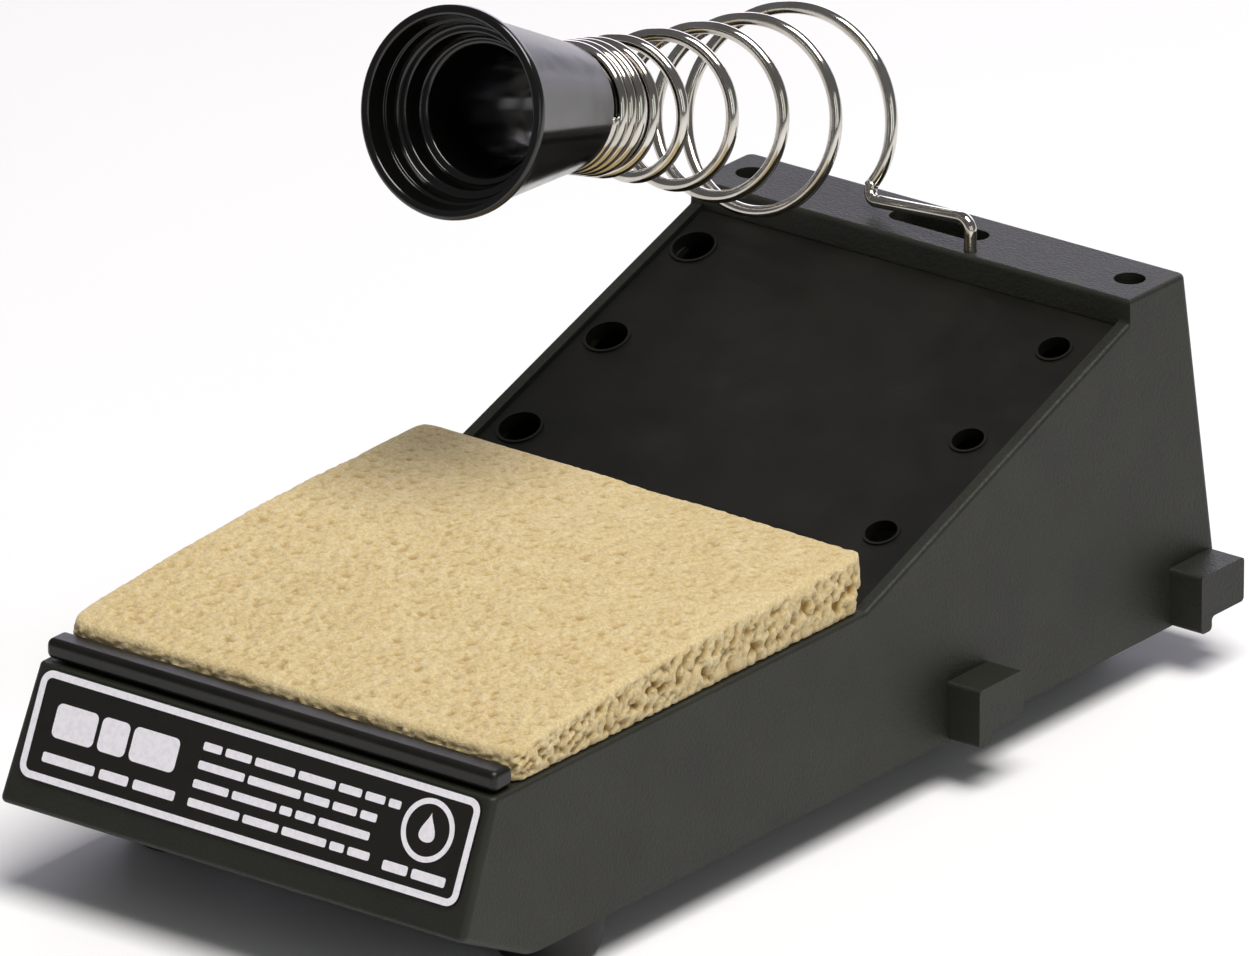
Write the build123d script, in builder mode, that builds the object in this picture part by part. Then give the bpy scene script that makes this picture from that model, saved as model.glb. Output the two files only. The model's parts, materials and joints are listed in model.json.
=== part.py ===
from build123d import *
import os
from math import cos, exp, hypot, pi, radians, sin, tan

# Soldering tool stand: a wedge-shaped moulded housing with a lift-out sponge tray and tip panel,
# a cleaning sponge, and a conical wire coil with a moulded funnel that holds the hot iron.
# Millimetres, +Z up, +Y to the rear. The origin is the middle of the flat underside.

# ---- driving dimensions -------------------------------------------------------------------
base_width = 88.0
base_length = 187.2
side_draft = 2.45            # degrees, each side leans in towards the top
wall = 2.2
slip = 0.3                   # gap between the lift-out pieces and the housing
rest_gap = 0.05              # gap under a piece that rests on another body

chin_height = 7.1            # the front edge stands clear of the desk
chin_depth = 15.4
front_height = 26.7          # top of the front wall and of the low side walls
front_lean = 8.8             # how far the front face leans back over its height
knee_depth = 98.7            # where the side walls start to climb
slope_depth = 67.2
slope_rise = 24.8
plate_depth = 14.6           # top plate, front to back
plate_step = 3.6             # plate above the top of the slope
rear_corner = 1.5
front_corner = 1.2
edge_round = 0.7

plate_hole_d = 4.9
plate_hole_spacing = 72.0
plate_slot_length = 18.0
plate_slot_width = 4.5
plate_line = 7.6             # holes and slot, measured back from the plate's front edge

hook_length = 10.9
hook_reach = 5.8
hook_height = 9.4
hook_lip = 2.7
hook_undercut = 2.2
hook_round = 0.7
hook_depths = (117.7, 174.0)  # front faces of the two linking hooks, from the front edge

tray_skin = 1.8
tray_drop = 0.7              # tray surface below the tops of the walls
basin_width = 73.2
basin_length = 78.4
basin_depth = 8.8
basin_start = 15.8
rib_count = 3
rib_thickness = 1.6
lip_depth = 4.6
lip_top = 3.5                # rolled lip above the front wall
lip_inset = 0.7              # ends of the lip, in from the outside of the housing
ledge_width = 1.6
ledge_thickness = 1.5

tip_pitch = 23.0             # along the slope
tip_first = 17.2             # lowest hole, up the slope from the knee
tip_column_left = -35.2
tip_column_right = 33.4
tip_hole_large = 6.6
tip_hole_small = 5.0
tip_rim = 0.45               # width of the raised rim round each hole
tip_rim_height = 0.3

sponge_width = 84.0
sponge_length = 84.1         # underneath
sponge_overhang = 1.1        # the rear face leans back over the knee
sponge_gap = 0.3             # behind the lip
sponge_front_thickness = 5.0
sponge_middle_thickness = 8.6
sponge_rear_thickness = 9.3
sponge_corner = 3.0

label_width = 82.6
label_height = 16.5
label_thickness = 0.3
label_corner = 2.2
label_top_margin = 0.5

wire_d = 2.0
leg_x = 10.0
leg_from_plate_edge = 2.15
leg_clearance = 0.05
leg_boss_r = 2.9
leg_boss_length = 14.0
leg_length_below = 20.0
run_rise = 3.7               # the run climbs from the kink to the top of the leg
kink_clearance = 0.35
kink_inset = 4.1             # the kink stands inside the coil's right-hand side
kink_share = 0.1             # of a turn, from the kink to the coil's right-hand side
wire_bend = 1.8

coil_mouth_x = -27.6
coil_mouth_behind_edge = 8.1
coil_mouth_height = 11.3     # above the plate
coil_heading = 3.6           # degrees off straight ahead, towards +X
coil_tilt = 20.4             # degrees up, at the mouth
coil_droop = 0.05            # degrees less per millimetre towards the funnel
coil_neck_r = 9.0
coil_flare = 4.7
coil_flare_mouth = 3.4
open_pitch = 12.35
open_turns = 4
closed_turns = 5
closed_pitch = 2.08
closing_turns = 0.71

funnel_length = 30.1
funnel_rim_r = 16.1
funnel_lip = 1.6
funnel_lip_width = 0.9
funnel_neck_r = 9.9
funnel_steps = [(3.3, 0.4), (5.8, 1.3), (9.0, 1.2)]   # depth of each inner step, and its width
funnel_mouth_r = 14.6
funnel_inner_slant = 0.2     # the walls between the steps close in by this share of their depth
spigot_length = 9.5
spigot_clearance = 0.1
throat_r = 6.6

clip_r = 4.0
clip_thickness = 0.6

foot_top_r = 9.0
foot_sole_r = 7.7
foot_height = 7.3
foot_round = 2.4
foot_recess_r = 4.2
foot_recess_depth = 4.0
front_foot = (9.5, 32.0)     # in from the side, and back from the front edge
rear_foot = (18.0, 17.2)     # in from the side, and forward from the rear edge
screw_r = 1.5
screw_head_r = 3.2
screw_head_height = 2.0
screw_cover = 0.8            # plastic left over the screw's end in the front bosses
screw_clearance = 0.15
pilot_clearance = 0.02
boss_r = 3.8
rib_web = 1.8

cover_thickness = 1.6
cover_corner = 3.0
ballast_width = 62.0
ballast_length = 100.0
ballast_thickness = 8.0
ballast_start = 48.0
ballast_screw_spacing = 70.0
ballast_screw_r = 2.0
ballast_screw_head_r = 3.6
ballast_screw_head = 2.2
ballast_screw_short = 1.0    # the screw ends inside the ballast
ballast_chamfer = 2.0
screw_chamfer = 0.6
driver_share = 1.3           # length of the cross recess, in head radii
driver_slot = 0.8
driver_depth = 1.1

# ---- small allowances and counts ------------------------------------------------------
lip_clearance = 0.7          # room for the tray to tilt past the front wall
lip_set_back = 0.9
lip_round = 1.1
lip_end_round = 0.9
basin_corner = 4.0
rib_end_gap = 8.0
tip_rows = 3
step_wall_length = 8.0       # the step's wall runs down behind the tray
boss_headroom = 1.2
pilot_spare = 0.5
corners_per_turn = 12
bend_share = 0.47             # of the shorter run beside a bend
clip_slots = 4
clip_slot_length = 1.4
clip_slot_width = 0.5

# ---- values worked out from them ----------------------------------------------------------
front_y = -base_length / 2
rear_y = base_length / 2
slope_top_y = front_y + knee_depth + slope_depth
slope_top_z = front_height + slope_rise
plate_z = slope_top_z + plate_step
plate_rear_y = slope_top_y + plate_depth
slope_length = hypot(slope_depth, slope_rise)
slope_y = slope_depth / slope_length
slope_z = slope_rise / slope_length
front_rise = front_height - chin_height
front_slant = hypot(front_lean, front_rise)
knee_y = front_y + knee_depth
reach = 2 * base_length      # longer than the object, for cutting shapes


def half_width(z):
    """Half the outside width at height z."""
    return base_width / 2 - z * tan(radians(side_draft))


def drafted(outline, inset):
    """Carry a side outline (y, z) across the width, trimmed to the drafted sides less the inset."""
    with BuildPart() as prism:
        with BuildSketch(Plane.YZ):
            with BuildLine():
                Polyline(*outline, close=True)
            make_face()
        extrude(amount=base_width, both=True)
        with BuildSketch(Plane.XY.offset(-plate_z)):
            Rectangle(2 * (half_width(-plate_z) - inset), reach)
        extrude(amount=3 * plate_z, taper=side_draft, mode=Mode.INTERSECT)
    return prism.part


def sheet_outline(top_drop, bottom_drop, front, rear):
    """Side outline of a sheet that follows the wall tops, between two drops below them."""
    climb = (rear - knee_depth) * slope_rise / slope_depth
    return [
        (front_y + front, front_height - top_drop),
        (knee_y, front_height - top_drop),
        (front_y + rear, front_height + climb - top_drop),
        (front_y + rear, front_height + climb - bottom_drop),
        (knee_y, front_height - bottom_drop),
        (front_y + front, front_height - bottom_drop),
    ]


def upright(x, depth, z):
    """Horizontal work plane at a place measured back from the front edge."""
    return Plane(origin=(x, front_y + depth, z), x_dir=(1, 0, 0), z_dir=(0, 0, 1))


def is_rear_corner(edge):
    """True for the two upright edges at the back of the housing."""
    middle = edge.center()
    return abs(middle.X) > base_width / 4 and middle.Y > plate_rear_y and edge.length > plate_z / 2


def is_front_corner(edge):
    """True for the two edges that bound the front face at its sides."""
    middle = edge.center()
    return (
        abs(middle.X) > base_width / 4
        and middle.Y < front_y + front_lean
        and edge.length > front_rise / 2
    )


def is_long_top_edge(edge):
    """True for the long straight edges of the housing that lie clear of its underside."""
    straight = edge.geom_type == GeomType.LINE
    return straight and edge.center().Z > edge_round and edge.length > plate_depth / 2


def is_sponge_corner(edge):
    """True for the four edges of the sponge that stand more or less upright."""
    rise = abs((edge % 0.5).Z)
    return rise > 0.9


os.makedirs("parts", exist_ok=True)

# ---- housing ------------------------------------------------------------------------------
outside = [
    (front_y, chin_height),
    (front_y + front_lean, front_height),
    (knee_y, front_height),
    (slope_top_y, slope_top_z),
    (slope_top_y, plate_z),
    (plate_rear_y, plate_z),
    (rear_y, 0),
    (front_y + chin_depth, 0),
]
front_wall_y = wall * front_slant / front_rise          # wall thickness measured along Y
rear_wall_y = wall * hypot(rear_y - plate_rear_y, plate_z) / plate_z
chin_wall_z = wall * hypot(chin_depth, chin_height) / chin_depth
lean_ratio = front_lean / front_rise
chin_ratio = chin_height / chin_depth
rear_ratio = (rear_y - plate_rear_y) / plate_z
nose_depth = (front_wall_y + lean_ratio * chin_wall_z) / (1 + lean_ratio * chin_ratio)
nose_z = chin_height - nose_depth * chin_ratio + chin_wall_z
lip_wall_depth = front_lean + front_wall_y               # back of the front wall at its top
opening_depth = chin_depth * (1 + chin_wall_z / chin_height)
step_bottom_z = slope_top_z - step_wall_length
roof_z = plate_z - wall
inside = [
    (front_y + nose_depth, nose_z),
    (front_y + lip_wall_depth, front_height),
    (front_y + lip_wall_depth, 2 * plate_z),
    (slope_top_y, 2 * plate_z),
    (slope_top_y, step_bottom_z),
    (slope_top_y + wall, step_bottom_z),
    (slope_top_y + wall, roof_z),
    (rear_y - rear_wall_y - roof_z * rear_ratio, roof_z),
    (rear_y - rear_wall_y + wall * rear_ratio, -wall),
    (front_y + opening_depth + wall / chin_ratio, -wall),
]
outer_body = drafted(outside, 0)
cavity = drafted(inside, wall)
ledge_top = tray_drop + tray_skin + rest_gap
ledge_outline = sheet_outline(
    ledge_top, ledge_top + ledge_thickness, basin_start, knee_depth + slope_depth - slip
)
ledge_block = drafted(ledge_outline, wall / 2)
ledge_gap = drafted(sheet_outline(0, reach, 0, knee_depth + slope_depth), wall + ledge_width)

pivot_y = slope_top_y + leg_from_plate_edge
plate_row_y = slope_top_y + plate_line
front_bosses = [(side * (base_width / 2 - front_foot[0]), front_foot[1]) for side in (-1, 1)]
rear_bosses = [
    (side * (base_width / 2 - rear_foot[0]), base_length - rear_foot[1]) for side in (-1, 1)
]
feet_places = {
    "foot_front_left": front_bosses[0],
    "foot_front_right": front_bosses[1],
    "foot_rear_left": rear_bosses[0],
    "foot_rear_right": rear_bosses[1],
}
basin_floor_z = front_height - tray_drop - basin_depth
front_boss_top = basin_floor_z - tray_skin - boss_headroom
screw_tip_z = front_boss_top - screw_cover - pilot_spare
head_top_z = foot_recess_depth - foot_height
screw_length = screw_tip_z - head_top_z

with BuildPart() as ledges:
    add(ledge_block)
    add(ledge_gap, mode=Mode.SUBTRACT)

with BuildPart() as housing:
    add(outer_body)
    fillet(housing.edges().filter_by(is_rear_corner), radius=rear_corner)
    fillet(housing.edges().filter_by(is_front_corner), radius=front_corner)
    fillet(housing.edges().filter_by(is_long_top_edge), radius=edge_round)
    add(cavity, mode=Mode.SUBTRACT)
    add(ledges.part)
    # front bosses stand on a web from the side wall, rear bosses hang from the top plate
    for x, depth in front_bosses:
        outward = 1 if x > 0 else -1
        with BuildSketch(upright(x, depth, cover_thickness)):
            Circle(boss_r)
        extrude(amount=front_boss_top - cover_thickness)
        web_length = half_width(0) - wall / 2 - abs(x)
        with BuildSketch(upright(x + outward * web_length / 2, depth, cover_thickness)):
            Rectangle(web_length, rib_web)
        extrude(amount=front_boss_top - cover_thickness)
    for x, depth in rear_bosses:
        with BuildSketch(upright(x, depth, cover_thickness)):
            Circle(boss_r)
        extrude(amount=plate_z - wall / 2 - cover_thickness)
    for x, depth in front_bosses + rear_bosses:
        with BuildSketch(upright(x, depth, 0)):
            Circle(screw_r + pilot_clearance)
        extrude(amount=screw_tip_z + pilot_spare, mode=Mode.SUBTRACT)
    # socket for the holder's leg
    with BuildSketch(Plane(origin=(leg_x, pivot_y, plate_z - leg_boss_length))):
        Circle(leg_boss_r)
        with Locations((0, -leg_from_plate_edge - leg_boss_r)):
            Rectangle(2 * leg_boss_r, 2 * leg_boss_r, mode=Mode.SUBTRACT)
    extrude(amount=leg_boss_length - wall / 2)
    with BuildSketch(Plane(origin=(leg_x, pivot_y, plate_z - leg_boss_length))):
        Circle(wire_d / 2 + leg_clearance)
    extrude(amount=2 * leg_boss_length, mode=Mode.SUBTRACT)
    # two fixing holes and a slot in the top plate
    with BuildSketch(Plane(origin=(0, plate_row_y, roof_z))):
        with Locations((-plate_hole_spacing / 2, 0), (plate_hole_spacing / 2, 0)):
            Circle(plate_hole_d / 2)
        SlotOverall(plate_slot_length, plate_slot_width)
    extrude(amount=2 * wall, mode=Mode.SUBTRACT)
    # two hooks on the right-hand side, to link a second unit
    for depth in hook_depths:
        y = front_y + depth
        with BuildSketch(Plane.YZ.offset(base_width / 2 - wall)):
            with BuildLine():
                Polyline(
                    (y, 0),
                    (y + hook_lip, 0),
                    (y + hook_lip, hook_undercut),
                    (y + hook_length, hook_undercut),
                    (y + hook_length, hook_height),
                    (y, hook_height),
                    close=True,
                )
            outline = make_face()
            fillet(outline.vertices(), radius=hook_round)
        extrude(amount=wall + hook_reach)
housing.part.label = "housing"
export_step(housing.part, "parts/housing.step")

# ---- bottom cover, ballast and their screws -------------------------------------------------
cover_front_y = front_y + opening_depth + slip
cover_rear_y = rear_y - rear_wall_y - cover_thickness * rear_ratio - slip
cover_width = 2 * (half_width(cover_thickness) - wall - slip)
cover_length = cover_rear_y - cover_front_y
cover_middle = (cover_front_y + cover_rear_y) / 2
ballast_middle = front_y + ballast_start + ballast_length / 2
ballast_holes = [(0, ballast_middle + side * ballast_screw_spacing / 2) for side in (-1, 1)]

with BuildPart() as bottom_cover:
    with BuildSketch(Plane.XY):
        with Locations((0, cover_middle)):
            RectangleRounded(cover_width, cover_length, cover_corner)
        with Locations(*[(x, front_y + depth) for x, depth in feet_places.values()]):
            Circle(screw_r + screw_clearance, mode=Mode.SUBTRACT)
        with Locations(*ballast_holes):
            Circle(ballast_screw_r + screw_clearance, mode=Mode.SUBTRACT)
    extrude(amount=cover_thickness)
bottom_cover.part.label = "bottom_cover"
export_step(bottom_cover.part, "parts/bottom_cover.step")

with BuildPart() as ballast_weight:
    with BuildSketch(Plane.XY.offset(cover_thickness)):
        with Locations((0, ballast_middle)):
            Rectangle(ballast_width, ballast_length)
        with Locations(*ballast_holes):
            Circle(ballast_screw_r + pilot_clearance, mode=Mode.SUBTRACT)
    extrude(amount=ballast_thickness)
    chamfer(ballast_weight.edges().filter_by(Axis.Z).filter_by(GeomType.LINE), length=ballast_chamfer)
ballast_weight.part.label = "ballast_weight"
export_step(ballast_weight.part, "parts/ballast_weight.step")

with BuildPart() as ballast_screws:
    with BuildSketch(Plane.XY.offset(-ballast_screw_head)):
        with Locations(*ballast_holes):
            Circle(ballast_screw_head_r)
    extrude(amount=ballast_screw_head)
    chamfer(ballast_screws.faces().group_by(Axis.Z)[0].edges(), length=screw_chamfer)
    with BuildSketch(Plane.XY):
        with Locations(*ballast_holes):
            Circle(ballast_screw_r)
    extrude(amount=cover_thickness + ballast_thickness - ballast_screw_short)
    with BuildSketch(Plane.XY.offset(-ballast_screw_head)):
        with Locations(*ballast_holes):
            Rectangle(driver_share * ballast_screw_head_r, driver_slot)
            Rectangle(driver_slot, driver_share * ballast_screw_head_r)
    extrude(amount=driver_depth, mode=Mode.SUBTRACT)
ballast_screws.part.label = "ballast_screws"
export_step(ballast_screws.part, "parts/ballast_screws.step")

# ---- feet and the screws that hold the cover --------------------------------------------------
for foot_name, (foot_x, foot_depth) in feet_places.items():
    with BuildPart() as foot:
        with BuildSketch(Plane(origin=(foot_x, front_y + foot_depth, 0), x_dir=(1, 0, 0), z_dir=(0, 1, 0))):
            with BuildLine():
                # half section, drawn downwards from the underside of the housing
                Polyline(
                    (screw_r + screw_clearance, 0),
                    (foot_top_r, 0),
                    (foot_sole_r, foot_height),
                    (foot_recess_r, foot_height),
                    (foot_recess_r, foot_height - foot_recess_depth),
                    (screw_r + screw_clearance, foot_height - foot_recess_depth),
                    close=True,
                )
            make_face()
        revolve(axis=Axis((foot_x, front_y + foot_depth, 0), (0, 0, 1)))
        sole = foot.edges().filter_by(GeomType.CIRCLE).group_by(Axis.Z)[0].sort_by(SortBy.RADIUS)[-1]
        fillet(sole, radius=foot_round)
    foot.part.label = foot_name
    export_step(foot.part, f"parts/{foot_name}.step")

with BuildPart() as foot_screws:
    for foot_x, foot_depth in feet_places.values():
        with BuildSketch(upright(foot_x, foot_depth, head_top_z - screw_head_height)):
            Circle(screw_head_r)
        extrude(amount=screw_head_height)
        with BuildSketch(upright(foot_x, foot_depth, head_top_z)):
            Circle(screw_r)
        extrude(amount=screw_length)
        with BuildSketch(upright(foot_x, foot_depth, head_top_z - screw_head_height)):
            Rectangle(driver_share * screw_head_r, driver_slot)
            Rectangle(driver_slot, driver_share * screw_head_r)
        extrude(amount=driver_depth, mode=Mode.SUBTRACT)
foot_screws.part.label = "foot_screws"
export_step(foot_screws.part, "parts/foot_screws.step")

# ---- front label ------------------------------------------------------------------------------
label_middle = front_slant - label_top_margin - label_height / 2
label_plane = Plane(
    origin=(
        0,
        front_y + front_lean * label_middle / front_slant,
        chin_height + front_rise * label_middle / front_slant,
    ),
    x_dir=(1, 0, 0),
    z_dir=(0, -front_rise, front_lean),
)
with BuildPart() as front_label:
    with BuildSketch(label_plane):
        RectangleRounded(label_width, label_height, label_corner)
    extrude(amount=label_thickness)
front_label.part.label = "front_label"
export_step(front_label.part, "parts/front_label.step")

# ---- lift-out tray with the tip panel ---------------------------------------------------------
tray_front = lip_wall_depth + lip_clearance
tray_rear = knee_depth + slope_depth - slip
lip_back = front_lean + lip_set_back + lip_depth
lip_bottom_z = front_height + slip
lip_top_z = front_height + lip_top
web_outline = [
    (front_y + tray_front, front_height - tray_drop - tray_skin),
    (front_y + lip_back, front_height - tray_drop - tray_skin),
    (front_y + lip_back, lip_top_z - tray_skin),
    (front_y + tray_front, lip_top_z - tray_skin),
]
tray_sheet = drafted(sheet_outline(tray_drop, tray_drop + tray_skin, tray_front, tray_rear), wall + slip)
tray_web = drafted(web_outline, wall + slip)
lip_half = half_width(front_height) - lip_inset
basin_middle_y = front_y + basin_start + basin_length / 2
sponge_bottom_z = front_height + slip
rib_spacing = basin_width / (rib_count + 1)


def tip_plane(x, number):
    """Work plane on the surface of the tip panel, at one of the holes up the slope."""
    along = tip_first + number * tip_pitch
    return Plane(
        origin=(x, knee_y + along * slope_y, front_height + along * slope_z - tray_drop),
        x_dir=(1, 0, 0),
        z_dir=(0, -slope_z, slope_y),
    )


tip_holes = [
    (tip_plane(x, number), hole_d)
    for x, hole_d in ((tip_column_left, tip_hole_large), (tip_column_right, tip_hole_small))
    for number in range(tip_rows)
]
with BuildPart() as lip_roll:
    with BuildSketch(Plane.YZ):
        with Locations((front_y + lip_back - lip_depth / 2, (lip_bottom_z + lip_top_z) / 2)):
            RectangleRounded(lip_depth, lip_top_z - lip_bottom_z, lip_round)
    extrude(amount=lip_half, both=True)
    lip_ends = lip_roll.faces().filter_by(Axis.X).edges()
    fillet(lip_ends, radius=lip_end_round)

with BuildPart() as tip_tray:
    add(tray_sheet)
    add(tray_web)
    add(lip_roll.part)
    with BuildSketch(Plane.XY.offset(basin_floor_z - tray_skin)):
        with Locations((0, basin_middle_y)):
            RectangleRounded(
                basin_width + 2 * tray_skin, basin_length + 2 * tray_skin, basin_corner + tray_skin
            )
    extrude(amount=basin_depth + tray_skin)
    with BuildSketch(Plane.XY.offset(basin_floor_z)):
        with Locations((0, basin_middle_y)):
            RectangleRounded(basin_width, basin_length, basin_corner)
    extrude(amount=basin_depth + tray_skin, mode=Mode.SUBTRACT)
    with BuildSketch(Plane.XY.offset(basin_floor_z)):
        with Locations((0, basin_middle_y)):
            with GridLocations(rib_spacing, 1, rib_count, 1):
                Rectangle(rib_thickness, basin_length - 2 * rib_end_gap)
    extrude(amount=sponge_bottom_z - rest_gap - basin_floor_z)
    for plane, hole_d in tip_holes:
        with BuildSketch(plane):
            Circle(hole_d / 2 + tip_rim)
        extrude(amount=tip_rim_height)
    for plane, hole_d in tip_holes:
        with BuildSketch(plane):
            Circle(hole_d / 2)
        extrude(amount=2 * tray_skin, both=True, mode=Mode.SUBTRACT)
tip_tray.part.label = "tip_tray"
export_step(tip_tray.part, "parts/tip_tray.step")

# ---- sponge -------------------------------------------------------------------------------------
sponge_front_y = front_y + lip_back + sponge_gap
sponge_rear_y = sponge_front_y + sponge_length
with BuildPart() as sponge:
    with BuildSketch(Plane.YZ):
        with BuildLine():
            Polyline(
                (sponge_front_y, sponge_bottom_z),
                (sponge_front_y, sponge_bottom_z + sponge_front_thickness),
                (sponge_front_y + sponge_length / 2, sponge_bottom_z + sponge_middle_thickness),
                (sponge_rear_y + sponge_overhang, sponge_bottom_z + sponge_rear_thickness),
                (sponge_rear_y, sponge_bottom_z),
                close=True,
            )
        make_face()
    extrude(amount=sponge_width / 2, both=True)
    fillet(sponge.edges().filter_by(is_sponge_corner), radius=sponge_corner)
sponge.part.label = "sponge"
export_step(sponge.part, "parts/sponge.step")

# ---- holder: one length of wire, bent and coiled ------------------------------------------------
wire_r = wire_d / 2
turns = open_turns + closed_turns
droop = radians(coil_droop)
mouth_tilt = radians(coil_tilt)
heading = radians(coil_heading)
ahead = Vector(sin(heading), -cos(heading), 0)
across = Vector(cos(heading), sin(heading), 0)
above = Vector(0, 0, 1)
coil_mouth = Vector(coil_mouth_x, slope_top_y + coil_mouth_behind_edge, plate_z + coil_mouth_height)


def coil_distance(turn):
    """Distance along the coil's centre line: an even pitch, then turns that close up."""
    if turn <= open_turns:
        return open_pitch * turn
    extra = turn - open_turns
    closing = (open_pitch - closed_pitch) * closing_turns * (1 - exp(-extra / closing_turns))
    return open_pitch * open_turns + closed_pitch * extra + closing


coil_length = coil_distance(turns)


def coil_radius(distance):
    """Radius of the wire's centre line, opening from the neck to the mouth."""
    open_share = 1 - distance / coil_length
    return coil_neck_r + coil_flare * open_share + coil_flare_mouth * open_share**3


def centre_line(distance):
    """Place, forward direction and upward direction on the gently drooping centre line."""
    tilt = mouth_tilt - droop * distance
    forward = (sin(mouth_tilt) - sin(tilt)) / droop
    rise = (cos(tilt) - cos(mouth_tilt)) / droop
    place = coil_mouth + ahead * forward + above * rise
    return place, ahead * cos(tilt) + above * sin(tilt), above * cos(tilt) - ahead * sin(tilt)


def coil_point(turn):
    """Point on the wire, counted in turns from the right-hand side of the mouth."""
    distance = coil_distance(turn)
    place, _, upward = centre_line(distance)
    angle = 2 * pi * turn
    return place + (across * cos(angle) + upward * sin(angle)) * coil_radius(distance)


kink_z = plate_z + wire_r + kink_clearance
kink_middle, _, kink_upward = centre_line(coil_distance(-kink_share))
kink_drop = (kink_middle.Z - kink_z) / kink_upward.Z
kink = kink_middle + across * (coil_radius(0) - kink_inset) - kink_upward * kink_drop
leg_top = Vector(leg_x, pivot_y, kink_z + run_rise)
leg_bottom = Vector(leg_x, pivot_y, plate_z - leg_length_below)


def coil_corner(turn):
    """Corner outside the coil, so that the runs between corners touch the coil in their middle."""
    place, _, _ = centre_line(coil_distance(turn))
    return place + (coil_point(turn) - place) / cos(pi / corners_per_turn)


def bend_radius(before, corner, after):
    """Bend that leaves only a short straight piece at each end of the shorter run."""
    first = corner - before
    second = after - corner
    half_turn = radians(first.get_angle(second)) / 2
    return bend_share * min(first.length, second.length) / tan(half_turn)


corners = [coil_corner((i + 0.5) / corners_per_turn) for i in range(-1, turns * corners_per_turn)]
route = [leg_bottom, leg_top, kink, *corners, coil_point(turns)]
coil_bends = [bend_radius(*route[i - 1 : i + 2]) for i in range(3, len(route) - 1)]

with BuildPart() as coil_holder:
    with BuildLine():
        FilletPolyline(*route, radius=[wire_bend, wire_bend, *coil_bends])
    with BuildSketch(Plane(origin=leg_bottom, z_dir=(0, 0, 1))):
        Circle(wire_r)
    sweep()
coil_holder.part.label = "coil_holder"
export_step(coil_holder.part, "parts/coil_holder.step")

# ---- funnel ---------------------------------------------------------------------------------------
shoulder = coil_length + wire_r
neck_place, _, _ = centre_line(shoulder)
rim_place, _, _ = centre_line(shoulder + funnel_length)
funnel_plane = Plane(origin=neck_place, x_dir=across, z_dir=rim_place - neck_place)
spigot_r = coil_neck_r - wire_r - spigot_clearance
cone_length = funnel_length - funnel_lip
lip_start_r = funnel_rim_r - funnel_lip_width
inner_profile = [(funnel_mouth_r, funnel_length)]
for step_depth, step_width in funnel_steps:
    above_r, above_z = inner_profile[-1]
    step_z = funnel_length - step_depth
    step_r = above_r - funnel_inner_slant * (above_z - step_z)
    inner_profile += [(step_r, step_z), (step_r - step_width, step_z)]
with BuildPart() as holder_funnel:
    with BuildSketch(Plane(origin=funnel_plane.origin, x_dir=across, z_dir=funnel_plane.y_dir * -1)):
        with BuildLine():
            Polyline(
                (throat_r, -spigot_length),
                (spigot_r, -spigot_length),
                (spigot_r, 0),
                (funnel_neck_r, 0),
                (lip_start_r, cone_length),
                (funnel_rim_r, cone_length),
                (funnel_rim_r, funnel_length),
                *inner_profile,
                (throat_r, 0),
                close=True,
            )
        make_face()
    revolve(axis=Axis(funnel_plane.origin, funnel_plane.z_dir))
holder_funnel.part.label = "holder_funnel"
export_step(holder_funnel.part, "parts/holder_funnel.step")

# ---- push-on clip that keeps the leg in its socket ----------------------------------------------
clip_top_z = plate_z - leg_boss_length - slip
with BuildPart() as leg_clip:
    with BuildSketch(Plane(origin=(leg_x, pivot_y, clip_top_z - clip_thickness))):
        Circle(clip_r)
        Circle(wire_r + pilot_clearance, mode=Mode.SUBTRACT)
        with PolarLocations(wire_r, clip_slots):
            Rectangle(2 * clip_slot_length, clip_slot_width, mode=Mode.SUBTRACT)
    extrude(amount=clip_thickness)
leg_clip.part.label = "leg_clip"
export_step(leg_clip.part, "parts/leg_clip.step")
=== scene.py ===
import json
from math import ceil, cos, pi, radians, sin, tan

import bpy
import numpy as np
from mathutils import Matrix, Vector


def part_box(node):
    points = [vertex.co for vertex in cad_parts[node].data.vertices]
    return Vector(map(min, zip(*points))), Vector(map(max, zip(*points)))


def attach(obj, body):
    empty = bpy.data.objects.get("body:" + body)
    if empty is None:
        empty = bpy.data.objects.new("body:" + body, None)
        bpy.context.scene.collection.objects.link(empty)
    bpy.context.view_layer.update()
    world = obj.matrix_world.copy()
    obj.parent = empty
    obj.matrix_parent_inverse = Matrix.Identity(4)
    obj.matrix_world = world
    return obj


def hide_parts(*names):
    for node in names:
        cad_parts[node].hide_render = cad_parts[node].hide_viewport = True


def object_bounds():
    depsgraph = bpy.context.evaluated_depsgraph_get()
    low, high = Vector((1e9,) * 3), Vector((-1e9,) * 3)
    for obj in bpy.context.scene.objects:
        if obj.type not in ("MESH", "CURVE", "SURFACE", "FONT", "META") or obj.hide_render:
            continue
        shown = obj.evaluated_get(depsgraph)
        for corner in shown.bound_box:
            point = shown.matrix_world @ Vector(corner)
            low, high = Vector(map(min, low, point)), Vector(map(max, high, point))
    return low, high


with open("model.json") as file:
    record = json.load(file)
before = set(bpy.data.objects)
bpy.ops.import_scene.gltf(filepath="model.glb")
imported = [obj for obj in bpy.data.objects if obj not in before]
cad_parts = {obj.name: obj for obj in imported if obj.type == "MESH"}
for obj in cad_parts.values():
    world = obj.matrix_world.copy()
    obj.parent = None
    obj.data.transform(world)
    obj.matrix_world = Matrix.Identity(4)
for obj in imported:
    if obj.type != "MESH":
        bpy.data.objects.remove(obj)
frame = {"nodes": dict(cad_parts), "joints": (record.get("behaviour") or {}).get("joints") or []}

# Soldering tool stand. The moulded housing, tray, feet and screws are the CAD nodes with their own
# materials. The sponge, the wire, the funnel and the print on the label are made here.
# Lengths are written in millimetres and turned into metres where a mesh or a light is made.
MM = 0.001
cad_bounds = [list(corner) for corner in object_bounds()]
nodes = frame["nodes"]
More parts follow.
